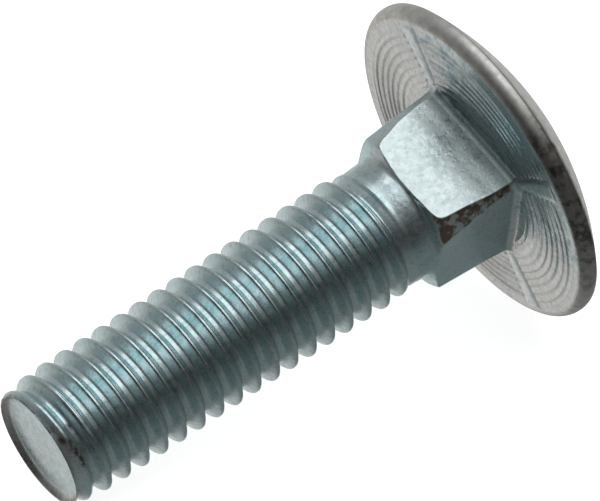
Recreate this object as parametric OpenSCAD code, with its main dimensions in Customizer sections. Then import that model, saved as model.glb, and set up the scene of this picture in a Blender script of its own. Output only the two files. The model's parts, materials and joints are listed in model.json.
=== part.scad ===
// Carriage bolt with a mushroom head and a square neck, rolled thread, one piece of steel.
// The bolt is drawn upright, thread end down, then laid on the rim of its head
// and the end of its thread, which is how a loose bolt comes to rest on a table.
// The thread is drawn as a plain cylinder over its crests.

/* [Length] */
// Length from the tip to the underside of the head
bolt_len = 29.4; // [22:0.1:80]
// Length of the neck, from the underside of the head to where it flares out of the shank
neck_len = 6.2; // [4:0.1:9]
// Bare shank between the end of the thread and the neck
bare_len = 0.3; // [0.1:0.1:5]

/* [Thread] */
// Diameter over the crests of the thread
thread_d = 7.65; // [6:0.05:12]
// How far the bare shank lies below the crests, on the radius
shank_step = 0.29; // [0.1:0.01:0.6]
// Length over which the thread runs out towards the bare shank
runout_len = 1.2; // [0.2:0.1:2]

/* [Tip] */
// Length over which the thread comes up to its full diameter
lead_len = 2; // [1.3:0.1:4]
// How far that lead narrows the radius, at the chamfer
lead_in = 0.2; // [0.05:0.05:0.6]
// Length of the chamfer at the tip
tip_chamfer_len = 0.7; // [0.2:0.05:1.2]
// How far the chamfer narrows the radius further
tip_chamfer_in = 0.22; // [0.1:0.02:0.8]
// Width of the rim around the dished end
tip_rim = 0.12; // [0.05:0.01:0.5]
// Depth of the dish in the end
dish_depth = 0.32; // [0.1:0.02:1]
// Width of the dish's sloping wall
dish_wall = 0.3; // [0.1:0.05:0.8]

/* [Neck] */
// How far the flats of the square neck stand out from the bare shank
neck_stand = 0.19; // [0.05:0.01:1.5]
// Leg of the bevel along the neck's four corners
neck_bevel = 0.35; // [0.1:0.05:0.8]
// Length over which the shank flares out to meet the flats
flare_len = 0.65; // [0.2:0.05:1.2]
// Length of the chamfer that the square's corners end in, past the flare
nose_len = 0.65; // [0.3:0.05:1.5]
// How far the corners are cut back, on the radius, where that chamfer ends
nose_cut = 0.58; // [0:0.02:0.6]
// Fillet between the neck's flats and the underside of the head
neck_fillet = 0.4; // [0.1:0.05:0.8]

/* [Head] */
// Diameter of the head
head_d = 19.8; // [16:0.05:30]
// Height of the head from its underside to its crown
head_h = 4.05; // [2.5:0.05:7]
// Radius of the rounded rim
rim_r = 0.75; // [0.4:0.05:1]
// Height of the rim's widest line above the underside
rim_h = 0.68; // [0.3:0.02:0.9]
// Height above the underside at which the dome meets the rim
rim_top = 0.95; // [0.92:0.01:1.2]
// How far the die ribs stand out of the underside
rib_h = 0.12; // [0.05:0.01:0.3]
// Width of a die rib at the neck's corner
rib_w_in = 0.8; // [0.3:0.1:2]
// Width of a die rib near the rim
rib_w_out = 1.5; // [0.5:0.1:3]
// How far a die rib stops short of the underside's edge
rib_gap = 0.25; // [0.1:0.05:1]

/* [Rest] */
// Turn of the bolt about its own axis as it lies
lie_turn = 20.8; // [0:0.1:90]

/* [Hidden] */
$fn = 96;

zinc = [0.68, 0.74, 0.75];
overlap = 0.05;
neck_sides = 4;

thread_r = thread_d / 2;
shank_r = thread_r - shank_step;
lead_r = thread_r - lead_in;
tip_r = lead_r - tip_chamfer_in;
dish_r = tip_r - tip_rim;
dish_floor_r = dish_r - dish_wall;
neck_start = bolt_len - neck_len;
thread_end = neck_start - bare_len;

neck_half = shank_r + neck_stand;
neck_w = 2 * neck_half;
neck_corner_r = norm([neck_half, neck_half - neck_bevel]);

// The rim is a circle whose centre lies rim_in from the axis.
rim_in = head_d / 2 - rim_r;
rim_z = bolt_len + rim_h;
underside_r = rim_in + sqrt(max(0, pow(rim_r, 2) - pow(rim_h, 2)));

// The dome is part of a sphere through the crown and the top of the rim.
dome_edge_r = rim_in + sqrt(max(0, pow(rim_r, 2) - pow(rim_top - rim_h, 2)));
dome_rise = head_h - rim_top;
dome_r = (pow(dome_edge_r, 2) + pow(dome_rise, 2)) / (2 * dome_rise);
dome_z = bolt_len + head_h - dome_r;

// The line that touches the lead's inner corner and the rim gives the angle at which the bolt lies.
reach = norm([rim_z - tip_chamfer_len, rim_in - lead_r]);
lie_angle = atan2(rim_in - lead_r, rim_z - tip_chamfer_len) + asin(rim_r / reach);
table_drop = lead_r * cos(lie_angle) - tip_chamfer_len * sin(lie_angle);
lie_x_low = -tip_r * sin(lie_angle);
lie_x_high = dome_z * cos(lie_angle) + dome_r;

// Tip, thread and bare shank, turned in one piece, and dished at the end.
module shank() {
    rotate_extrude()
        polygon([
            [0, dish_depth],
            [dish_floor_r, dish_depth],
            [dish_r, 0],
            [tip_r, 0],
            [lead_r, tip_chamfer_len],
            [thread_r, lead_len],
            [thread_r, thread_end - runout_len],
            [shank_r, thread_end],
            [shank_r, neck_start + overlap],
            [0, neck_start + overlap]
        ]);
}

// Outline of the square neck with its corners bevelled.
module neck_outline() {
    intersection() {
        square(neck_w, center = true);
        rotate(45) square(sqrt(2) * (neck_w - neck_bevel), center = true);
    }
}

// The neck flares out of the shank, its corners end in a chamfer, then widen slightly towards the head.
module neck() {
    flats_start = neck_start + flare_len;
    intersection() {
        translate([0, 0, neck_start]) linear_extrude(neck_len + overlap) neck_outline();
        rotate_extrude()
            polygon([
                [0, neck_start],
                [shank_r, neck_start],
                [neck_half, flats_start],
                [neck_corner_r - nose_cut, flats_start + nose_len],
                [neck_corner_r + overlap, bolt_len],
                [neck_corner_r + overlap, bolt_len + 2 * overlap],
                [0, bolt_len + 2 * overlap]
            ]);
    }
}

// A hollow corner that runs along each flat of the neck, against the head.
module neck_fillets() {
    flat_w = neck_w - 2 * neck_bevel;
    for (side = [0 : neck_sides - 1])
        rotate(side * 360 / neck_sides)
            translate([neck_half, flat_w / 2, bolt_len])
                rotate([90, 0, 0])
                    linear_extrude(flat_w)
                        difference() {
                            translate([-overlap, -neck_fillet]) square(neck_fillet + overlap);
                            translate([neck_fillet, -neck_fillet]) circle(neck_fillet);
                        }
}

// Four ribs that the forging die leaves under the head, from the neck's corners to near the rim.
module die_ribs() {
    rib_start = neck_corner_r - rib_w_in;
    rib_end = underside_r - rib_gap;
    for (side = [0 : neck_sides - 1])
        rotate((side + 0.5) * 360 / neck_sides)
            translate([0, 0, bolt_len - rib_h])
                linear_extrude(rib_h + overlap)
                    polygon([
                        [rib_start, -rib_w_in / 2],
                        [rib_end, -rib_w_out / 2],
                        [rib_end, rib_w_out / 2],
                        [rib_start, rib_w_in / 2]
                    ]);
}

// Half section of the head: a flat underside, a rounded rim and a dome over both.
module head_section() {
    intersection() {
        translate([0, dome_z]) circle(dome_r, $fn = 360);
        translate([0, bolt_len]) square([head_d, head_h]);
        union() {
            translate([0, bolt_len]) square([rim_in, head_h]);
            translate([rim_in, rim_z]) circle(rim_r);
        }
    }
}

module head() {
    rotate_extrude() head_section();
}

module upright_bolt() {
    shank();
    neck();
    neck_fillets();
    die_ribs();
    head();
}

// Lays the upright bolt along +X, on its rim and tip, centred over the origin.
module laid() {
    translate([-(lie_x_low + lie_x_high) / 2, 0, table_drop])
        rotate([0, 90 - lie_angle, 0])
            rotate(lie_turn)
                children();
}

module carriage_bolt() {
    color(zinc) laid() upright_bolt();
}

carriage_bolt();
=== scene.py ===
import bmesh
import bpy
import json
import math
import numpy as np
from mathutils import Matrix, Vector, noise


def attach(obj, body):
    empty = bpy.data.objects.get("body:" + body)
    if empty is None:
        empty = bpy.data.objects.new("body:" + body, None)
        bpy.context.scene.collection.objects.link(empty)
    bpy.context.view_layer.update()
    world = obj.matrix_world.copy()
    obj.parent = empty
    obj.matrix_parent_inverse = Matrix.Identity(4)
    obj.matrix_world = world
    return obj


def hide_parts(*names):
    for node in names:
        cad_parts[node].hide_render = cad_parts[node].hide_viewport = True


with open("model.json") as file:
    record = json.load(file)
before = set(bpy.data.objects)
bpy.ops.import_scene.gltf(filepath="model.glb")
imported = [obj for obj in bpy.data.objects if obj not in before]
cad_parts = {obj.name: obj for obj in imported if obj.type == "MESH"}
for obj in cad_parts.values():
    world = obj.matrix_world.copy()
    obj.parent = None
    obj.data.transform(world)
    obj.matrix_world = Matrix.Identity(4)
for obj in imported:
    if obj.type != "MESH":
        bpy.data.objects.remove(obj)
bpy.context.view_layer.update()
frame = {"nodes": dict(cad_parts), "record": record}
mm = 0.001

# the bolt's own axis and sizes, read from the frame
mounts = {mount["name"]: mount for mount in frame["record"]["mounts"]}
axisUp = -Vector(mounts["thread"]["axis"])  # from the tip towards the head
axisPoint = Vector(mounts["thread"]["pos_m"])
facePoint = Vector(mounts["bearing_face"]["pos_m"])
crestRadius = mounts["thread"]["dims"]["r_mm"]


def alongAxis(point):
    return (point - axisPoint).dot(axisUp)


def fromAxis(point):
    return (point - axisPoint - axisUp * alongAxis(point)).length


cadPoints = [vertex.co for vertex in frame["nodes"]["carriage_bolt"].data.vertices]
tipAlong = min(alongAxis(point) for point in cadPoints)
tipPoint = axisPoint + axisUp * tipAlong
boltLength = (alongAxis(facePoint) - tipAlong) / mm
boltHeight = (max(alongAxis(point) for point in cadPoints) - tipAlong) / mm
headRadius = max(fromAxis(point) for point in cadPoints) / mm

# the bearing face's point lies straight out from one flat of the neck
flatOut = (facePoint - axisPoint - axisUp * alongAxis(facePoint)).normalized()
lyingTurn = Matrix((flatOut, axisUp.cross(flatOut), axisUp)).transposed().to_4x4()
lying = Matrix.Translation(tipPoint) @ lyingTurn @ Matrix.Scale(mm, 4)
print(f"bolt: {boltLength:.2f} mm to the head, {boltHeight:.2f} mm in all, head radius {headRadius:.2f} mm")


# small helpers for Geometry Nodes trees

def startTree(name, inputs):
    tree = bpy.data.node_groups.new(name, "GeometryNodeTree")
    for label, kind in inputs:
        tree.interface.new_socket(label, in_out="INPUT", socket_type=kind)
    tree.interface.new_socket("Geometry", in_out="OUTPUT", socket_type="NodeSocketGeometry")
    return tree, tree.nodes.new("NodeGroupInput").outputs, tree.nodes.new("NodeGroupOutput").inputs


def plug(tree, value, socket):
    if isinstance(value, (int, float, bool)):
        socket.default_value = value
    else:
        tree.links.new(value, socket)


def maths(tree, operation, *values):
    step = tree.nodes.new("ShaderNodeMath")
    step.operation = operation
    for value, socket in zip(values, step.inputs):
        plug(tree, value, socket)
    return step.outputs[0]


def oneMinus(tree, value):
    return maths(tree, "SUBTRACT", 1, value)


# rises from 0 to 1 between two values
def easeIn(tree, value, start, end):
    step = tree.nodes.new("ShaderNodeMapRange")
    step.interpolation_type = "SMOOTHSTEP"
    for given, label in ((value, "Value"), (start, "From Min"), (end, "From Max")):
        plug(tree, given, step.inputs[label])
    return step.outputs["Result"]


def blendFloats(tree, factor, first, second):
    step = tree.nodes.new("ShaderNodeMix")
    for given, socket in zip((factor, first, second), (step.inputs[0], step.inputs[2], step.inputs[3])):
        plug(tree, given, socket)
    return step.outputs[0]


def storeFloat(tree, geometry, name, value):
    step = tree.nodes.new("GeometryNodeStoreNamedAttribute")
    step.inputs["Name"].default_value = name
    plug(tree, geometry, step.inputs["Geometry"])
    plug(tree, value, step.inputs["Value"])
    return step.outputs[0]


def splitPosition(tree):
    place = tree.nodes.new("ShaderNodeSeparateXYZ")
    plug(tree, tree.nodes.new("GeometryNodeInputPosition").outputs[0], place.inputs[0])
    return place.outputs


def vectorOf(tree, x, y, z):
    step = tree.nodes.new("ShaderNodeCombineXYZ")
    for value, socket in zip((x, y, z), step.inputs):
        plug(tree, value, socket)
    return step.outputs[0]


def noiseAt(tree, place, scale, seed):
    step = tree.nodes.new("ShaderNodeTexNoise")
    step.noise_dimensions = "4D"
    plug(tree, place, step.inputs["Vector"])
    plug(tree, seed, step.inputs["W"])
    plug(tree, scale, step.inputs["Scale"])
    plug(tree, 2.0, step.inputs["Detail"])
    return step.outputs[0]


def finishTree(tree, geometry, material, result):
    real = tree.nodes.new("GeometryNodeRealizeInstances")
    plug(tree, geometry, real.inputs[0])
    clothed = tree.nodes.new("GeometryNodeSetMaterial")
    plug(tree, real.outputs[0], clothed.inputs["Geometry"])
    plug(tree, material, clothed.inputs["Material"])
    plug(tree, clothed.outputs[0], result["Geometry"])


# runs a tree on a mesh with these sizes and gives back the plain mesh it makes
def grownMesh(name, tree, sizes, material, startMesh=None):
    holder = bpy.data.objects.new(name, startMesh or bpy.data.meshes.new(name))
    bpy.context.collection.objects.link(holder)
    modifier = holder.modifiers.new(name, "NODES")
    modifier.node_group = tree
    for item in tree.interface.items_tree:
        if item.in_out == "INPUT" and item.name in sizes:
            modifier[item.identifier] = sizes[item.name]
        if item.in_out == "INPUT" and item.name == "Material":
            modifier[item.identifier] = material
    bpy.context.view_layer.update()
    evaluated = holder.evaluated_get(bpy.context.evaluated_depsgraph_get())
    made = bpy.data.meshes.new_from_object(evaluated)
    bpy.data.objects.remove(holder)
    return made


# the rolled thread

columns = 176  # vertices round the bolt, the same on every part so that the parts join
evenAngles = np.arange(columns) * 360 / columns
weldDistance = 0.0005  # closes the thread's own seam
seamDistance = 0.0006  # joins thread, head and tip
threadSizes = {
    "Pitch": 1.25,
    "Length": 23.05,
    "Crest Radius": crestRadius - 0.01,  # stays just inside the CAD thread
    "Root Radius": 3.2,
    "Tip Radius": 3.39,
    "Shank Radius": 3.535,
    "Crest Width": 0.16,
    "Flank Angle": math.radians(60),  # above the bolt's axis
    "First Crest": 1.07,  # how far from the tip a crest crosses the bolt's own x
    "Lead Length": 0.9,
    "Blunt From": 0.7,  # crests are rounder up to here, and no longer from Blunt To on
    "Blunt To": 1.6,
    "Crest Blunt": 0.5,
    "Root Blunt": 0.3,
    "Root Lead": 0.5,
    "Fade Length": 1.7,
    "Tip Ease": 0.25,
    "Shank Ease": 0.4,
    "Crest Round": 0.16,
    "Root Round": 0.2,
    "Groove Depth": 0.6,  # at which a groove counts as full depth and its root gets the full painted shade
    "Seam Depth": 0.022,
    "Seam Width": 0.07,
    "Roughness": 0.035,
    "Noise Radius": 3.8,
    "Coarse Noise": 0.55,
    "Fine Noise": 2.6,
    "Crowding": 0.6,  # how strongly rows gather at crests and roots
    "Rows per Turn": 20,
    "Columns": columns,
    "Seed": 4.0,
}


def threadTree():
    whole = ("Rows per Turn", "Columns")
    sockets = [(label, "NodeSocketFloat") for label in threadSizes if label not in whole]
    sockets += [(label, "NodeSocketInt") for label in whole]
    tree, given, result = startTree("rolledThread", sockets + [("Material", "NodeSocketMaterial")])
    pitch, length = given["Pitch"], given["Length"]
    spareTurns = 2
    turns = maths(tree, "CEIL", maths(tree, "DIVIDE", length, pitch))
    turns = maths(tree, "ADD", turns, spareTurns)

    grid = tree.nodes.new("GeometryNodeMeshGrid")
    plug(tree, maths(tree, "ADD", given["Columns"], 1), grid.inputs["Vertices X"])
    rows = maths(tree, "ADD", maths(tree, "MULTIPLY", turns, given["Rows per Turn"]), 1)
    plug(tree, rows, grid.inputs["Vertices Y"])
    place = splitPosition(tree)
    around = maths(tree, "ADD", place["X"], 0.5)
    rowTurn = maths(tree, "MULTIPLY", maths(tree, "ADD", place["Y"], 0.5), turns)

    # rows crowd together at the crest and at the root
    crowd = maths(tree, "SINE", maths(tree, "MULTIPLY", rowTurn, 4 * math.pi))
    crowd = maths(tree, "MULTIPLY", crowd, maths(tree, "DIVIDE", given["Crowding"], 4 * math.pi))
    helixTurn = maths(tree, "SUBTRACT", rowTurn, crowd)
    climb = maths(tree, "ADD", maths(tree, "SUBTRACT", helixTurn, spareTurns), around)
    along = maths(tree, "MULTIPLY_ADD", climb, pitch, given["First Crest"])
    along = maths(tree, "MINIMUM", maths(tree, "MAXIMUM", along, 0), length)
    offCrest = maths(tree, "SUBTRACT", helixTurn, maths(tree, "ROUND", helixTurn))
    offCrest = maths(tree, "MULTIPLY", maths(tree, "ABSOLUTE", offCrest), pitch)

    angle = maths(tree, "MULTIPLY", around, 2 * math.pi)
    cosine, sine = maths(tree, "COSINE", angle), maths(tree, "SINE", angle)
    spotX = maths(tree, "MULTIPLY", cosine, given["Noise Radius"])
    spotY = maths(tree, "MULTIPLY", sine, given["Noise Radius"])
    spot = vectorOf(tree, spotX, spotY, along)
    coarse = maths(tree, "SUBTRACT", noiseAt(tree, spot, given["Coarse Noise"], given["Seed"]), 0.5)
    fine = maths(tree, "SUBTRACT", noiseAt(tree, spot, given["Fine Noise"], given["Seed"]), 0.5)

    # crests rise from the tip and sink again towards the bare shank
    fadeStart = maths(tree, "SUBTRACT", length, given["Fade Length"])
    fade = oneMinus(tree, easeIn(tree, along, fadeStart, length))
    lead = maths(tree, "DIVIDE", along, given["Lead Length"])
    rise = maths(tree, "EXPONENT", maths(tree, "MULTIPLY", lead, -1))
    crest = blendFloats(tree, rise, given["Crest Radius"], given["Tip Radius"])
    crest = blendFloats(tree, fade, given["Shank Radius"], crest)
    rootEase = easeIn(tree, along, 0.0, given["Root Lead"])
    root = blendFloats(tree, rootEase, given["Tip Radius"], given["Root Radius"])
    root = blendFloats(tree, fade, given["Shank Radius"], root)

    # flanks between a rounded crest and a rounded root
    drop = maths(tree, "SUBTRACT", offCrest, maths(tree, "MULTIPLY", given["Crest Width"], 0.5))
    drop = maths(tree, "MULTIPLY", drop, maths(tree, "TANGENT", given["Flank Angle"]))
    flank = maths(tree, "SUBTRACT", given["Crest Radius"], drop)
    blunt = oneMinus(tree, easeIn(tree, along, given["Blunt From"], given["Blunt To"]))
    crestSoft = maths(tree, "MULTIPLY_ADD", blunt, given["Crest Blunt"], given["Crest Round"])
    rootSoft = maths(tree, "MULTIPLY_ADD", blunt, given["Root Blunt"], given["Root Round"])
    profile = maths(tree, "SMOOTH_MIN", flank, crest, crestSoft)
    profile = maths(tree, "SMOOTH_MAX", profile, root, rootSoft)

    # the seam that rolling leaves along the crest is broken here and there
    seamNear = maths(tree, "DIVIDE", offCrest, maths(tree, "MULTIPLY", given["Seam Width"], 0.5))
    seam = maths(tree, "MAXIMUM", oneMinus(tree, maths(tree, "MULTIPLY", seamNear, seamNear)), 0)
    broken = maths(tree, "MAXIMUM", maths(tree, "MULTIPLY_ADD", fine, 3.0, 0.7), 0)
    seam = maths(tree, "MULTIPLY", maths(tree, "MULTIPLY", seam, broken), given["Seam Depth"])
    seam = maths(tree, "MULTIPLY", seam, oneMinus(tree, blunt))
    profile = maths(tree, "SUBTRACT", profile, seam)
    profile = maths(tree, "MULTIPLY_ADD", coarse, given["Roughness"], profile)
    hump = maths(tree, "MINIMUM", profile, given["Crest Radius"])

    # both ends close on plain circles
    tipEase = easeIn(tree, along, 0.0, given["Tip Ease"])
    shankEase = easeIn(tree, maths(tree, "SUBTRACT", length, along), 0.0, given["Shank Ease"])
    endShare = maths(tree, "DIVIDE", along, length)
    circle = blendFloats(tree, endShare, given["Tip Radius"], given["Shank Radius"])
    radius = blendFloats(tree, maths(tree, "MULTIPLY", tipEase, shankEase), circle, hump)

    shaped = tree.nodes.new("GeometryNodeSetPosition")
    plug(tree, grid.outputs["Mesh"], shaped.inputs["Geometry"])
    turnedX = maths(tree, "MULTIPLY", radius, cosine)
    turnedY = maths(tree, "MULTIPLY", radius, sine)
    plug(tree, vectorOf(tree, turnedX, turnedY, along), shaped.inputs["Position"])
    depth = maths(tree, "DIVIDE", maths(tree, "SUBTRACT", crest, radius), given["Groove Depth"])
    grooved = storeFloat(tree, shaped.outputs[0], "groove", maths(tree, "MAXIMUM", depth, 0))
    welded = tree.nodes.new("GeometryNodeMergeByDistance")
    plug(tree, grooved, welded.inputs["Geometry"])
    welded.inputs["Distance"].default_value = weldDistance
    finishTree(tree, welded.outputs[0], given["Material"], result)
    return tree


# neck, head and tip: rows of the same number of columns, from the thread outwards

neckSizes = {
    "flatHalf": 3.735,
    "flatLift": [(27.9, 0.0), (28.9, 0.065)],  # the flats lean out a little towards the head
    # how far the metal reaches in each direction round the bolt, as (along, radius),
    # before the flats cut it away
    "reach": {
        0: [(23.05, 3.535), (23.6, 3.62), (24.1, 3.66), (24.35, 3.9), (24.7, 5.0), (28.9, 5.3)],
        45: [(23.05, 3.535), (23.6, 3.64), (23.95, 3.94), (24.4, 4.54), (24.9, 4.98), (28.9, 5.12)],
        90: [(23.05, 3.535), (24.05, 3.58), (24.35, 3.66), (24.45, 3.8), (24.6, 4.3), (24.8, 4.8),
             (28.9, 5.3)],
        135: [(23.05, 3.535), (24.1, 3.61), (24.35, 3.74), (24.45, 4.0), (24.6, 4.4), (24.9, 4.56),
              (25.5, 4.62), (26.4, 4.84), (28.9, 5.0)],
        150: [(23.05, 3.535), (24.05, 3.62), (24.31, 3.78), (24.41, 3.93), (24.63, 4.5), (25.25, 4.7),
              (28.9, 5.2)],
        180: [(23.05, 3.535), (23.6, 3.60), (24.1, 3.63), (24.22, 3.66), (24.28, 3.74), (24.34, 3.95),
              (24.5, 4.6), (24.7, 5.1), (28.9, 5.3)],
        210: [(23.05, 3.535), (23.6, 3.60), (24.0, 3.64), (24.2, 3.74), (24.32, 4.10), (24.48, 4.84),
              (24.7, 5.2), (28.9, 5.3)],
        225: [(23.05, 3.535), (23.6, 3.60), (24.0, 3.68), (24.18, 3.88), (24.34, 4.36), (24.5, 4.52),
              (24.96, 4.66), (26.1, 4.78), (27.2, 4.95), (28.9, 5.12)],
        240: [(23.05, 3.535), (23.6, 3.60), (24.0, 3.68), (24.18, 3.86), (24.34, 4.20), (24.96, 4.30),
              (26.1, 4.37), (27.2, 4.5), (28.9, 4.7)],
        270: [(23.05, 3.535), (23.6, 3.60), (24.0, 3.68), (24.15, 3.74), (24.25, 4.0), (24.35, 4.5),
              (24.5, 4.95), (28.9, 5.3)],
        315: [(23.05, 3.535), (23.8, 3.60), (24.0, 3.74), (24.15, 4.05), (24.3, 4.42), (24.45, 4.6),
              (25.3, 4.68), (26.4, 4.8), (28.9, 5.05)],
    },
    "squareBy": 0.8,  # length over which the columns move from evenly spaced to the square's corners
    "edgeRound": 0.05,
    "filletFrom": 28.9,
    "fillet": 0.45,
    "filletRows": 7,
    # rows along the neck, as (from, to, how many)
    "rows": [(23.17, 23.9, 8), (23.98, 24.86, 15), (25.0, 25.6, 4), (26.0, 27.9, 7), (28.2, 28.9, 4)],
    "stripColumns": 10,
    "flatCrowding": 1.5,
    # where a corner strip may begin, in degrees from the middle of a flat, and how often to refine it
    "leastKnot": 27,
    "mostKnot": 44,
    "knotSteps": 4,
}
ringSizes = {
    "Face": boltLength,
    "First Ring": 4.7,
    "Last Ring": 8.95,
    "Ring Spacing": 0.46,
    "Ring Height": 0.072,
    "Ring Wander": 0.9,
    "Wander Noise": 0.9,
    "Strength Noise": 2.1,
    "Ring Sharpness": 1.6,
    "Face Depth": 0.03,
    "Rib Height": 0.1,
    "Rib Inner Width": 0.8,
    "Rib Outer Width": 1.5,
    "Rib Start": 5.0,
    "Rib End": 9.15,
    "Seed": 2.0,
}
undersideSizes = {
    "circleStart": 5.75,  # where the rows become full circles
    "rowSpacing": 0.062,
    "blendRows": 9,
    "knot": 40.35,
}
headSizes = {
    "rimCentre": headRadius - 0.82,
    "rimRadius": 0.75,
    "rimHeight": 0.68,
    "rimRows": 16,
    "faceOverlap": 0.25,  # how far the flat face runs past the rim's centre
    "domeEdge": 0.95,
    "crownDrop": 0.01,
    "edgeRound": 0.18,
    # how far in from the dome's edge each of its rows lies
    "domeRows": (0.03, 0.07, 0.12, 0.18, 0.26, 0.4, 0.6, 0.9, 1.3, 1.8, 2.4, 3.1, 3.9, 4.7, 5.5, 6.3, 7.1,
                 7.9, 8.6, 9.2, 9.55),
    "offAxis": 0.09,
    "offTurn": 120,  # degrees round the bolt
}
tipSizes = {
    "lift": 0.02,
    # radius and depth from the thread's first circle, over the rim, down into the dish
    "profile": [(3.375, -0.012), (3.355, -0.02), (3.33, -0.015), (3.30, 0.0), (3.27, 0.03), (3.23, 0.09),
                (3.17, 0.18), (3.09, 0.26), (2.98, 0.31), (2.8, 0.335), (2.4, 0.34), (1.9, 0.335),
                (1.3, 0.33), (0.7, 0.325), (0.3, 0.322)],
}
dentSizes = {
    "wavy": (0.012, 0.45),  # height in mm and how often per mm
    "pitted": (0.004, 2.2),
    "nicks": [(18.94, 162, 0.22, 0.09)],  # along, degrees round the bolt, spread, depth
}


def stationValue(stations, along):
    places, values = zip(*stations)
    return np.interp(along, places, values)


def smoothLess(first, second, soft):
    overlap = np.maximum(soft - np.abs(first - second), 0) / soft
    return np.minimum(first, second) - overlap * overlap * soft * 0.25


# angles round the bolt, crowded where the flats meet each corner strip
def spreadColumns(knots):
    strip = neckSizes["stripColumns"]
    half = (columns // 4 - strip) // 2
    crowded = 1 - (1 - np.linspace(0, 1, half + 1)) ** neckSizes["flatCrowding"]
    stripShares = 0.5 - 0.5 * np.cos(np.pi * np.arange(1, strip) / strip)
    quarters = []
    for side in range(4):
        before, after = knots[side]
        corner = before + (90 - before - after) * stripShares
        secondFlat = 90 - after * crowded[::-1]
        quarters.append(90 * side + np.concatenate((before * crowded, corner, secondFlat[:-1])))
    return np.concatenate(quarters)


# how far round from the middle of a flat its corner strip begins, in degrees
def knotBeside(middle, sense, flat, reachAt):
    knot = 45
    for _ in range(neckSizes["knotSteps"]):
        knot = math.degrees(math.acos(min(flat / reachAt(middle + sense * knot), 1)))
    return min(max(knot, neckSizes["leastKnot"]), neckSizes["mostKnot"])


# one row round the square neck, grown outwards by this much
def neckRow(along, grow=0.0, lift=0.0):
    flat = neckSizes["flatHalf"] + stationValue(neckSizes["flatLift"], along) + grow
    directions = sorted(neckSizes["reach"])
    reaches = [stationValue(neckSizes["reach"][direction], along) + grow for direction in directions]

    def reachAt(angle):
        return np.interp(angle, directions + [360], reaches + reaches[:1])

    knots = []
    for middle in range(0, 360, 90):
        firstKnot = knotBeside(middle, 1, flat, reachAt)
        knots.append((firstKnot, knotBeside(middle + 90, -1, flat, reachAt)))
    squared = min((along - threadSizes["Length"]) / neckSizes["squareBy"], 1)
    angles = evenAngles + squared * (spreadColumns(knots) - evenAngles)
    offFlat = (angles + 45) % 90 - 45
    radius = smoothLess(flat / np.cos(np.radians(offFlat)), reachAt(angles), neckSizes["edgeRound"])
    return rowOf(angles, radius, along + lift)


def rowOf(angles, radius, height):
    turn = np.radians(angles)
    return np.stack((radius * np.cos(turn), radius * np.sin(turn), height + 0 * turn), axis=1)


def neckRows():
    rows = [rowOf(evenAngles, threadSizes["Shank Radius"], threadSizes["Length"])]
    for first, last, count in neckSizes["rows"]:
        rows += [neckRow(along) for along in np.linspace(first, last, count)]
    fillet, filletFrom = neckSizes["fillet"], neckSizes["filletFrom"]
    for turn in np.linspace(0, math.pi / 2, neckSizes["filletRows"] + 1)[1:]:
        lift = (boltLength - filletFrom) * math.sin(turn)
        rows.append(neckRow(filletFrom, fillet * (1 - math.cos(turn)), lift))
    return rows


# from the neck's outline out to full circles, then across the flat face
def undersideRows(outline):
    rows = []
    circleStart, spacing = undersideSizes["circleStart"], undersideSizes["rowSpacing"]
    angles = np.degrees(np.arctan2(outline[:, 1], outline[:, 0])) % 360
    radius = np.hypot(outline[:, 0], outline[:, 1])
    angles[0] = 0
    knot = undersideSizes["knot"]
    knotted = spreadColumns([(knot, knot)] * 4)
    for share in np.linspace(0, 1, undersideSizes["blendRows"] + 1)[1:]:
        turned = angles + share * (knotted - angles)
        rows.append(rowOf(turned, radius + share * (circleStart - radius), boltLength))
    rimCentre = headSizes["rimCentre"]
    for circle in np.arange(circleStart + spacing, rimCentre + headSizes["faceOverlap"], spacing):
        share = (circle - circleStart) / (rimCentre - circleStart)
        rows.append(offCentre(rowOf(knotted, circle, boltLength), share))
    return rows, knotted


# the head sits a little to one side of the shank
def offCentre(row, share):
    turn = math.radians(headSizes["offTurn"])
    aside = headSizes["offAxis"] * min(share, 1)
    return row + np.array([aside * math.cos(turn), aside * math.sin(turn), 0])


# over the rounded rim and up the dome
def headRows(angles):
    centre, curve, rimHeight = headSizes["rimCentre"], headSizes["rimRadius"], headSizes["rimHeight"]
    lowest = math.asin(-rimHeight / (curve + 0.01))
    edgeTurn = math.asin((headSizes["domeEdge"] - rimHeight) / curve)
    rows = []
    for turn in np.linspace(lowest, edgeTurn, headSizes["rimRows"]):
        height = boltLength + rimHeight + curve * math.sin(turn)
        rows.append(offCentre(rowOf(angles, centre + curve * math.cos(turn), height), 1))
    edgeRadius = centre + curve * math.cos(edgeTurn)
    crown = boltHeight - headSizes["crownDrop"]
    rise = crown - boltLength - headSizes["domeEdge"]
    domeRadius = (edgeRadius ** 2 + rise ** 2) / (2 * rise)
    soft = headSizes["edgeRound"]
    for inward in headSizes["domeRows"]:
        across = edgeRadius - inward
        height = crown - domeRadius + math.sqrt(domeRadius ** 2 - across ** 2)
        blunt = 0.25 * soft * max(1 - inward / soft, 0) ** 2
        rows.append(offCentre(rowOf(angles, across, height - blunt), across / edgeRadius))
    return rows, crown


def tipRows():
    rows = [rowOf(evenAngles, threadSizes["Tip Radius"], 0.0)]
    rows += [rowOf(evenAngles, radius, depth + tipSizes["lift"]) for radius, depth in tipSizes["profile"]]
    return rows


# skins these rows and closes the last one on a pole
def lofted(rows, poleHeight, inward):
    points = np.concatenate(rows + [np.array([[0, 0, poleHeight]])])
    faces = []
    for row in range(len(rows) - 1):
        for column in range(columns):
            after = (column + 1) % columns
            faces.append((row * columns + column, row * columns + after,
                          (row + 1) * columns + after, (row + 1) * columns + column))
    last = (len(rows) - 1) * columns
    faces += [(last + column, last + (column + 1) % columns, len(points) - 1) for column in range(columns)]
    if inward:
        faces = [face[::-1] for face in faces]
    mesh = bpy.data.meshes.new("loft")
    mesh.from_pydata(points.tolist(), [], faces)
    return mesh


# rises over this width up to a value
def easeUpTo(tree, value, width, end):
    return easeIn(tree, value, maths(tree, "SUBTRACT", end, width), end)


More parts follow.
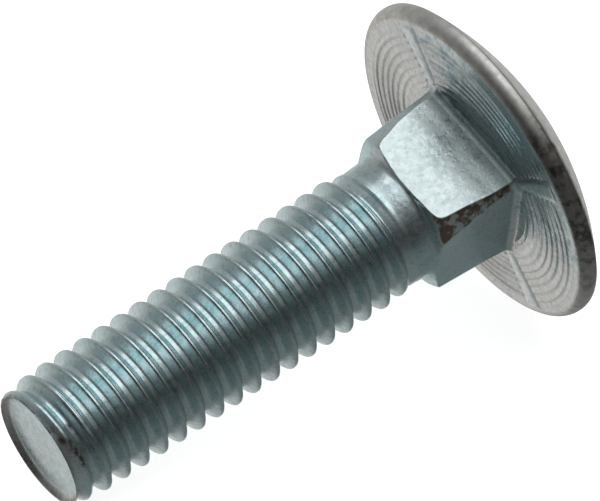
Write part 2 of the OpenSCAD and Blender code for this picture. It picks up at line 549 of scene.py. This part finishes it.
def ringTree():
    sockets = [("Geometry", "NodeSocketGeometry")] + [(label, "NodeSocketFloat") for label in ringSizes]
    tree, given, result = startTree("dieRings", sockets + [("Material", "NodeSocketMaterial")])
    x, y, z = splitPosition(tree)
    squares = maths(tree, "ADD", maths(tree, "MULTIPLY", x, x), maths(tree, "MULTIPLY", y, y))
    radius = maths(tree, "SQRT", squares)
    offFace = maths(tree, "ABSOLUTE", maths(tree, "SUBTRACT", z, given["Face"]))
    onFace = oneMinus(tree, easeIn(tree, offFace, 0.0, given["Face Depth"]))

    # rings of uneven depth
    ringTurn = maths(tree, "SUBTRACT", radius, given["First Ring"])
    ringTurn = maths(tree, "DIVIDE", ringTurn, given["Ring Spacing"])
    unitX, unitY = maths(tree, "DIVIDE", x, radius), maths(tree, "DIVIDE", y, radius)
    spot = vectorOf(tree, unitX, unitY, radius)
    wander = maths(tree, "SUBTRACT", noiseAt(tree, spot, given["Wander Noise"], given["Seed"]), 0.5)
    ringTurn = maths(tree, "MULTIPLY_ADD", wander, given["Ring Wander"], ringTurn)
    wave = maths(tree, "COSINE", maths(tree, "MULTIPLY", ringTurn, 2 * math.pi))
    crisp = maths(tree, "POWER", maths(tree, "MULTIPLY_ADD", wave, 0.5, 0.5), given["Ring Sharpness"])
    strength = noiseAt(tree, spot, given["Strength Noise"], given["Seed"])
    strength = maths(tree, "MULTIPLY_ADD", strength, 1.3, 0.4)
    begun = easeUpTo(tree, radius, 0.3, given["First Ring"])
    ended = oneMinus(tree, easeUpTo(tree, radius, 0.35, given["Last Ring"]))
    ringHeight = maths(tree, "MULTIPLY", maths(tree, "MULTIPLY", begun, ended), given["Ring Height"])
    rings = maths(tree, "MULTIPLY", maths(tree, "MULTIPLY", crisp, strength), ringHeight)

    # four smooth wedge ribs on the diagonals
    oneWay = maths(tree, "ABSOLUTE", maths(tree, "ADD", x, y))
    otherWay = maths(tree, "ABSOLUTE", maths(tree, "SUBTRACT", x, y))
    offRib = maths(tree, "MULTIPLY", maths(tree, "MINIMUM", oneWay, otherWay), math.sqrt(0.5))
    ribLength = maths(tree, "SUBTRACT", given["Rib End"], given["Rib Start"])
    widen = maths(tree, "DIVIDE", maths(tree, "SUBTRACT", radius, given["Rib Start"]), ribLength)
    ribWidth = blendFloats(tree, widen, given["Rib Inner Width"], given["Rib Outer Width"])
    offSide = maths(tree, "SUBTRACT", offRib, maths(tree, "MULTIPLY", ribWidth, 0.5))
    rings = maths(tree, "MULTIPLY", rings, easeIn(tree, offSide, 0.0, 0.12))
    beside = oneMinus(tree, easeIn(tree, offSide, -0.35, 0.12))
    onRib = maths(tree, "MULTIPLY", beside, oneMinus(tree, easeUpTo(tree, radius, 0.3, given["Rib End"])))
    lift = maths(tree, "MULTIPLY", blendFloats(tree, onRib, rings, given["Rib Height"]), onFace)

    turned = storeFloat(tree, given["Geometry"], "turned", maths(tree, "MULTIPLY", onFace, radius))
    ribbed = storeFloat(tree, turned, "rib", maths(tree, "MULTIPLY", onRib, onFace))
    moved = tree.nodes.new("GeometryNodeSetPosition")
    plug(tree, ribbed, moved.inputs["Geometry"])
    plug(tree, vectorOf(tree, 0.0, 0.0, maths(tree, "MULTIPLY", lift, -1)), moved.inputs["Offset"])
    finishTree(tree, moved.outputs[0], given["Material"], result)
    return tree


# welds the parts into one closed piece and lays it down
def joined(meshes, name, material):
    work = bmesh.new()
    for mesh in meshes:
        work.from_mesh(mesh)
    bmesh.ops.remove_doubles(work, verts=work.verts, dist=seamDistance)
    work.normal_update()
    dent(work)
    openEdges = sum(1 for edge in work.edges if not edge.is_manifold)
    final = bpy.data.meshes.new(name)
    work.to_mesh(final)
    work.free()
    final.materials.clear()
    final.materials.append(material)
    for polygon in final.polygons:
        polygon.use_smooth = True
        polygon.material_index = 0
    paintWearAndShade(final)
    final.transform(lying)
    piece = bpy.data.objects.new(name, final)
    bpy.context.collection.objects.link(piece)
    triangles = sum(len(polygon.vertices) - 2 for polygon in final.polygons)
    print(f"{name}: {triangles} triangles, {openEdges} open edges")
    return piece


# slight waves and pits from rolling and plating, always inwards
def dent(work):
    for vertex in work.verts:
        depth = 0
        for height, often in (dentSizes["wavy"], dentSizes["pitted"]):
            depth += height * (noise.noise(vertex.co * often) * 0.5 - 0.5)
        for along, angle, spread, sink in dentSizes["nicks"]:
            turn = math.radians(angle)
            near = Vector((crestRadius * math.cos(turn), crestRadius * math.sin(turn), along))
            depth -= sink * math.exp(-((vertex.co - near).length / spread) ** 2)
        vertex.co += vertex.normal * depth


# wear, stains and painted shade, as strengths from 0 to 1 stored on the piece

wearAndShadeSizes = {
    # along, angle, spread along, spread in degrees, strength
    "stains": [(1.20, 199, 0.2, 4, 1.0), (0.35, 206, 0.18, 6, 0.8), (0.27, 195, 0.16, 8, 0.8),
               (0.69, 215, 0.2, 9, 1.0), (0.81, 232, 0.2, 10, 1.0), (0.5, 225, 0.45, 22, 0.5),
               (23.9, 215, 0.5, 16, 0.3)],
    # the last two scuffs, at 29.4 mm under the head, are painted shade on two darker sectors of the
    # underside
    "scuffsAndShade": [(23.7, 190, 0.6, 45, 1.2), (26.9, 178, 0.9, 14, 1.0), (27.6, 168, 0.7, 12, 0.8),
               (28.2, 200, 0.5, 12, 0.5), (29.4, 155, 0.3, 20, 1.8), (29.4, 248, 0.3, 18, 1.6)],
    "darkCorner": (205, 250),  # the neck's corner strip, in degrees round the bolt: brown scale with painted shade laid over it
    "darkCornerAlong": (24.3, 29.0),
    "darkCornerStrength": 1.35,
    "dishStain": 0.1,
    "tipRimStain": 0.75,
    "underHead": (-0.3, 0.2),  # dull plating near the underside, measured from it
    "underHeadShadeSector": (200, 45, 0.75),  # painted shade: round this angle the underside keeps its blue plating; angle, spread and how much of the dullness goes there
    "nearFlat": (180, 45, 0.5),  # angle, half width and dullness of the flat above the rest
    "domeWear": 0.9,
    "rimDark": (192, 212, 250, 276),  # round the head, in degrees: begins, fully dark, fading, gone
    "rimDarkStrength": (0.22, 1, 1, 0.3),
}


def fillAttribute(mesh, name, values):
    layer = mesh.attributes.get(name) or mesh.attributes.new(name, "FLOAT", "POINT")
    layer.data.foreach_set("value", values.astype(np.float32))


def readAttribute(mesh, name):
    values = np.zeros(len(mesh.vertices), dtype=np.float32)
    mesh.attributes[name].data.foreach_get("value", values)
    return values


def bump(value, centre, spread):
    return np.exp(-((value - centre) / spread) ** 2)


def patches(along, angle, spots):
    total = np.zeros(len(along))
    for place, turn, spread, turnSpread, strength in spots:
        total += strength * bump(along, place, spread) * bump(angle, turn, turnSpread)
    return total


# 0 before start, 1 once this width past it, and straight between
def rampUp(value, start, width):
    return np.clip((value - start) / width, 0, 1)


# the strip between two flats lies inside the square's outline; its soil colour is partly brown scale,
# partly painted shade
def cornerShadeStrip(along, radius, angle):
    square = neckSizes["flatHalf"] + stationValue(neckSizes["flatLift"], along)
    inside = square / np.cos(np.radians((angle + 45) % 90 - 45)) - radius
    fromAngle, toAngle = wearAndShadeSizes["darkCorner"]
    fromAlong, toAlong = wearAndShadeSizes["darkCornerAlong"]
    strip = rampUp(inside, 0.02, 0.05) * (angle > fromAngle) * (angle < toAngle)
    strip *= rampUp(along, fromAlong, 0.1) * rampUp(-along, -toAlong, 0.2)
    return wearAndShadeSizes["darkCornerStrength"] * strip


# where the plating is plain grey instead of blue, except one sector under the head kept blue as painted
# shade
def plainPlaces(along, angle, onTip):
    lower, upper = wearAndShadeSizes["underHead"]
    underHead = rampUp(along, boltLength + lower, 0.15) * rampUp(-along, -boltLength - upper, 0.15)
    # painted shade: a sector under the head keeps its blue plating
    shadeAngle, shadeSpread, share = wearAndShadeSizes["underHeadShadeSector"]
    underHead *= 1 - share * bump(angle, shadeAngle, shadeSpread)
    flatAngle, flatHalfWidth, flatDull = wearAndShadeSizes["nearFlat"]
    onNeck = (along > threadSizes["Length"]) & (along < boltLength + lower)
    facing = flatDull * (onNeck & (np.abs(angle - flatAngle) < flatHalfWidth))
    return np.maximum(np.maximum(onTip, underHead), facing)


def paintWearAndShade(mesh):
    points = np.zeros(len(mesh.vertices) * 3, dtype=np.float32)
    mesh.vertices.foreach_get("co", points)
    x, y, along = points.reshape(-1, 3).T
    radius, angle = np.hypot(x, y), np.degrees(np.arctan2(y, x)) % 360
    onOutside = (along > 0.06) & (radius > 3.1)
    onThread = (along < threadSizes["Length"] - 0.01) & onOutside
    onTip = rampUp(-radius, -3.4, 0.1) * rampUp(-along, -0.4, 0.1)
    tipRim = bump(along, 0.0, 0.16) * rampUp(radius, 2.95, 0.15)
    stainAndShade = patches(along, angle, wearAndShadeSizes["stains"]) * onOutside
    stainAndShade += wearAndShadeSizes["dishStain"] * onTip + wearAndShadeSizes["tipRimStain"] * tipRim
    # the scuff strength also carries painted shade in two sectors under the head
    scuffAndShade = patches(along, angle, wearAndShadeSizes["scuffsAndShade"]) * (along > threadSizes["Length"])
    onRim = rampUp(radius, headSizes["rimCentre"] + 0.25, 0.15)
    onDome = rampUp(along, boltLength + headSizes["domeEdge"], 0.1)
    rimDark = np.interp(angle, wearAndShadeSizes["rimDark"], wearAndShadeSizes["rimDarkStrength"])
    fillAttribute(mesh, "groove", np.where(onThread, readAttribute(mesh, "groove"), 0.5))
    # the stain strength also carries the painted shade on the neck's corner strip
    fillAttribute(mesh, "stainAndShade", np.maximum(stainAndShade, cornerShadeStrip(along, radius, angle)))
    fillAttribute(mesh, "scuffAndShade", scuffAndShade)
    fillAttribute(mesh, "plain", plainPlaces(along, angle, onTip))
    fillAttribute(mesh, "rimEdge", np.maximum(onRim, wearAndShadeSizes["domeWear"] * onDome))
    fillAttribute(mesh, "rimDark", onRim * rimDark)


# finish

zincSizes = {
    "tint": (0.52, 0.69, 0.71),
    "pale": (0.59, 0.75, 0.77),
    "plain": (0.65, 0.655, 0.635),
    "worn": (0.78, 0.84, 0.84),
    "rib": (0.74, 0.80, 0.80),
    "rootShade": (0.30, 0.39, 0.40),
    "fleck": (0.32, 0.43, 0.47),
    "soilAndShade": (0.07, 0.053, 0.04),
    "rim": (0.81, 0.775, 0.72),
    "rimSoil": (0.22, 0.19, 0.165),
    "speck": (0.07, 0.06, 0.05),
    # noise patterns, as scale per metre, detail and roughness
    "cloudy": (420, 4, 0.5),
    "mottled": (2600, 3, 0.6),
    "flecked": (4200, 3, 0.6),
    "speckled": (1500, 5, 0.65),
    "roughness": (0.22, 0.36),
    "rimRoughness": 0.16,
    "stainAndShadeDulls": 0.45,
    "turningScale": 5.5,
    "turningHeight": 2.5,
    "speckHeight": 0.8,
    "scuffHeight": 3.0,
    "grainStrength": 0.28,
    "grainDepth": 0.00003,
}


def shaderStart(name):
    material = bpy.data.materials.new(name)
    material.use_nodes = True
    material.node_tree.nodes.clear()
    tree = material.node_tree
    shader = tree.nodes.new("ShaderNodeBsdfPrincipled")
    output = tree.nodes.new("ShaderNodeOutputMaterial")
    tree.links.new(shader.outputs[0], output.inputs["Surface"])
    return material, tree, shader


def objectNoise(tree, scale, detail, rough):
    place = tree.nodes.new("ShaderNodeTexCoord").outputs["Object"]
    step = tree.nodes.new("ShaderNodeTexNoise")
    tree.links.new(place, step.inputs["Vector"])
    step.inputs["Scale"].default_value = scale
    step.inputs["Detail"].default_value = detail
    step.inputs["Roughness"].default_value = rough
    return step.outputs[0]


def ramp(tree, value, stops):
    step = tree.nodes.new("ShaderNodeValToRGB")
    tree.links.new(value, step.inputs[0])
    while len(step.color_ramp.elements) < len(stops):
        step.color_ramp.elements.new(0.5)
    for element, (place, colour) in zip(step.color_ramp.elements, stops):
        element.position = place
        element.color = (colour, colour, colour, 1) if isinstance(colour, float) else (*colour, 1)
    return step.outputs[0]


def mixColours(tree, factor, first, second):
    step = tree.nodes.new("ShaderNodeMix")
    step.data_type = "RGBA"
    plug(tree, factor, step.inputs[0])
    for colour, socket in ((first, step.inputs[6]), (second, step.inputs[7])):
        if isinstance(colour, tuple):
            socket.default_value = (*colour, 1)
        else:
            tree.links.new(colour, socket)
    return step.outputs[2]


def attributeOf(tree, name):
    step = tree.nodes.new("ShaderNodeAttribute")
    step.attribute_name = name
    return step.outputs["Fac"]


# how much of a colour to lay on, as a share of an attribute
def shareOf(tree, name, share):
    return maths(tree, "MULTIPLY", attributeOf(tree, name), share)


# clear blue plating, worn on the crests, painted shade in the roots and soiled at the tip
def zincColour(tree, cloudy, flecked, speckled):
    colour = ramp(tree, cloudy, ((0.35, zincSizes["tint"]), (0.65, zincSizes["pale"])))
    groove = attributeOf(tree, "groove")
    onCrests, shadedRoots = ((0.0, 0.35), (0.04, 0.0)), ((0.75, 0.0), (1.0, 0.5))
    colour = mixColours(tree, ramp(tree, groove, onCrests), colour, zincSizes["worn"])
    # painted shade: the deepest part of each groove is darkened
    colour = mixColours(tree, ramp(tree, groove, shadedRoots), colour, zincSizes["rootShade"])
    colour = mixColours(tree, attributeOf(tree, "plain"), colour, zincSizes["plain"])
    colour = mixColours(tree, shareOf(tree, "rib", 0.8), colour, zincSizes["rib"])
    colour = mixColours(tree, ramp(tree, flecked, ((0.54, 0.0), (0.66, 0.45))), colour, zincSizes["fleck"])
    # fleck colour for scuffs, and as painted shade in two sectors under the head
    scuffAndShadeSpecks = ramp(tree, speckled, ((0.45, 0.0), (0.6, 0.6)))
    scuffsAndShade = maths(tree, "MULTIPLY", attributeOf(tree, "scuffAndShade"), scuffAndShadeSpecks)
    colour = mixColours(tree, scuffsAndShade, colour, zincSizes["fleck"])
    colour = mixColours(tree, shareOf(tree, "rimEdge", 0.8), colour, zincSizes["rim"])
    colour = mixColours(tree, shareOf(tree, "rimDark", 0.6), colour, zincSizes["rimSoil"])
    rimSpecks = ramp(tree, speckled, ((0.47, 0.0), (0.62, 0.75)))
    rimSpecks = maths(tree, "MULTIPLY", attributeOf(tree, "rimDark"), rimSpecks)
    return mixColours(tree, rimSpecks, colour, zincSizes["speck"])


# fine turning marks under the head, and plating grain everywhere
def zincGrain(tree, mottled, speckled):
    turned = attributeOf(tree, "turned")
    lathe = tree.nodes.new("ShaderNodeTexNoise")
    lathe.noise_dimensions = "1D"
    tree.links.new(turned, lathe.inputs["W"])
    lathe.inputs["Scale"].default_value = zincSizes["turningScale"]
    lathe.inputs["Detail"].default_value = 3
    onTurned = ramp(tree, maths(tree, "MULTIPLY", turned, 0.1), ((0.3, 0.0), (0.5, 1.0)))
    marks = maths(tree, "MULTIPLY", lathe.outputs[0], onTurned)
    height = maths(tree, "MULTIPLY_ADD", marks, zincSizes["turningHeight"], mottled)
    height = maths(tree, "MULTIPLY_ADD", speckled, zincSizes["speckHeight"], height)
    scuffed = maths(tree, "MULTIPLY", speckled, attributeOf(tree, "scuffAndShade"))
    height = maths(tree, "MULTIPLY_ADD", scuffed, zincSizes["scuffHeight"], height)
    grain = tree.nodes.new("ShaderNodeBump")
    grain.inputs["Strength"].default_value = zincSizes["grainStrength"]
    grain.inputs["Distance"].default_value = zincSizes["grainDepth"]
    tree.links.new(height, grain.inputs["Height"])
    return grain.outputs[0]


def zincPlate():
    material, tree, shader = shaderStart("zincPlate")
    patterns = ("cloudy", "mottled", "flecked", "speckled")
    cloudy, mottled, flecked, speckled = (objectNoise(tree, *zincSizes[name]) for name in patterns)
    colour = zincColour(tree, cloudy, flecked, speckled)
    # soil colour for stains and patina, and painted shade on the neck's corner strip
    stainAndShadeSpecks = ramp(tree, speckled, ((0.40, 0.45), (0.58, 1.0)))
    soiledAndShaded = maths(tree, "MULTIPLY", attributeOf(tree, "stainAndShade"), stainAndShadeSpecks)
    soiledAndShaded = maths(tree, "MINIMUM", soiledAndShaded, 1)
    metallic = oneMinus(tree, maths(tree, "MULTIPLY", soiledAndShaded, zincSizes["stainAndShadeDulls"]))
    smooth, dull = zincSizes["roughness"]
    rough = ramp(tree, mottled, ((0.35, smooth), (0.65, dull)))
    rough = maths(tree, "MULTIPLY_ADD", attributeOf(tree, "rimEdge"), zincSizes["rimRoughness"], rough)
    tree.links.new(mixColours(tree, soiledAndShaded, colour, zincSizes["soilAndShade"]), shader.inputs["Base Color"])
    tree.links.new(metallic, shader.inputs["Metallic"])
    tree.links.new(rough, shader.inputs["Roughness"])
    tree.links.new(zincGrain(tree, mottled, speckled), shader.inputs["Normal"])
    return material


zinc = zincPlate()
print("zinc plate: made")
threadMesh = grownMesh("rolledThread", threadTree(), threadSizes, zinc)
print(f"thread: {len(threadMesh.vertices)} points, pitch {threadSizes['Pitch']} mm")
neck = neckRows()
underside, knotted = undersideRows(neck[-1])
head, crown = headRows(knotted)
headLoft = lofted(neck + underside + head, crown, False)
headMesh = grownMesh("dieRings", ringTree(), ringSizes, zinc, headLoft)
print(f"neck and head: {len(neck)} rows, {len(underside)} rows under the head, {len(head)} over it")
tipMesh = lofted(tipRows(), tipSizes["profile"][-1][1] + tipSizes["lift"], True)
bolt = joined([threadMesh, headMesh, tipMesh], "platedBolt", zinc)
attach(bolt, "root")
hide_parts("carriage_bolt")


# floor, light and camera

studio = {
    "floorSize": 1.2,
    "floorColour": (0.9, 0.9, 0.9),
    "floorRoughness": 0.9,
    "floorGlow": 0.86,
    # brightness of the room from straight down to straight up, behind the bolt and in front of it
    "roomBehind": ((0.0, (0.45, 0.44, 0.43)), (0.15, (0.77, 0.76, 0.75)), (0.35, (0.72, 0.71, 0.70)),
                   (0.5, (0.48, 0.475, 0.47)), (0.75, (0.34, 0.35, 0.36)), (1.0, (0.36, 0.375, 0.385))),
    "roomInFront": ((0.0, (0.20, 0.205, 0.205)), (0.25, (0.15, 0.165, 0.165)),
                    (0.42, (0.085, 0.085, 0.085)), (0.5, (0.06, 0.056, 0.053)), (0.7, (0.05, 0.05, 0.05)),
                    (0.8, (0.2, 0.2, 0.2)), (1.0, (0.36, 0.375, 0.385))),
    "backFrom": (0.05, 0.45),
    "darkSide": (-0.7, -0.2),  # the room is darker towards the thread's end
    "darkLeft": 0.55,
}


def layFloor():
    mesh = bpy.data.meshes.new("floor")
    half = studio["floorSize"] / 2
    corners = [(-half, -half, 0), (half, -half, 0), (half, half, 0), (-half, half, 0)]
    mesh.from_pydata(corners, [], [(0, 1, 2, 3)])
    floor = bpy.data.objects.new("floor", mesh)
    bpy.context.collection.objects.link(floor)
    material, tree, shader = shaderStart("paleFloor")
    shader.inputs["Base Color"].default_value = (*studio["floorColour"], 1)
    shader.inputs["Roughness"].default_value = studio["floorRoughness"]
    shader.inputs["Emission Color"].default_value = (1, 1, 1, 1)
    shader.inputs["Emission Strength"].default_value = studio["floorGlow"]
    mesh.materials.append(material)
    floor.visible_glossy = False


softboxes = {
    # direction from the bolt, distance, width, height, watts
    "above": ((0.25, 0.0, 0.97), 0.45, 0.5, 0.36, 0.56),
}


def hangLights():
    for name, (direction, distance, width, height, watts) in softboxes.items():
        light = bpy.data.lights.new(name, "AREA")
        light.shape = "RECTANGLE"
        light.size, light.size_y = width, height
        light.energy = watts
        lamp = bpy.data.objects.new(name, light)
        bpy.context.collection.objects.link(lamp)
        lamp.location = Vector(direction).normalized() * distance
        lamp.rotation_euler = Vector(direction).to_track_quat("Z", "Y").to_euler()


def paintRoom():
    world = bpy.data.worlds.new("studio")
    bpy.context.scene.world = world
    world.use_nodes = True
    tree = world.node_tree
    place = tree.nodes.new("ShaderNodeSeparateXYZ")
    tree.links.new(tree.nodes.new("ShaderNodeTexCoord").outputs["Generated"], place.inputs[0])
    height = maths(tree, "MULTIPLY_ADD", place.outputs["Z"], 0.5, 0.5)
    behind = ramp(tree, height, studio["roomBehind"])
    inFront = ramp(tree, height, studio["roomInFront"])
    towardsBack = easeIn(tree, place.outputs["Y"], *studio["backFrom"])
    towardsHead = easeIn(tree, place.outputs["X"], *studio["darkSide"])
    sky = tree.nodes["Background"].inputs
    tree.links.new(mixColours(tree, towardsBack, inFront, behind), sky["Color"])
    tree.links.new(blendFloats(tree, towardsHead, studio["darkLeft"], 1.0), sky["Strength"])


cameraView = {
    "place": (-0.18811, -0.26051, 0.25417),
    "target": (0.00063, -0.00053, 0.00957),
    "lens": 451.06,
    "sensor": 36,
    "clip": (0.01, 10),
}


def setCamera():
    data = bpy.data.cameras.new("camera")
    data.lens = cameraView["lens"]
    data.sensor_width = cameraView["sensor"]
    data.clip_start, data.clip_end = cameraView["clip"]
    camera = bpy.data.objects.new("camera", data)
    bpy.context.collection.objects.link(camera)
    camera.location = cameraView["place"]
    sight = Vector(cameraView["target"]) - Vector(cameraView["place"])
    camera.rotation_euler = sight.to_track_quat("-Z", "Y").to_euler()
    bpy.context.scene.camera = camera


layFloor()
hangLights()
paintRoom()
setCamera()
bpy.context.scene.view_settings.view_transform = "Standard"
print(f"studio: floor {studio['floorSize']} m, {len(softboxes)} softbox, lens {cameraView['lens']} mm")
bpy.context.view_layer.update()
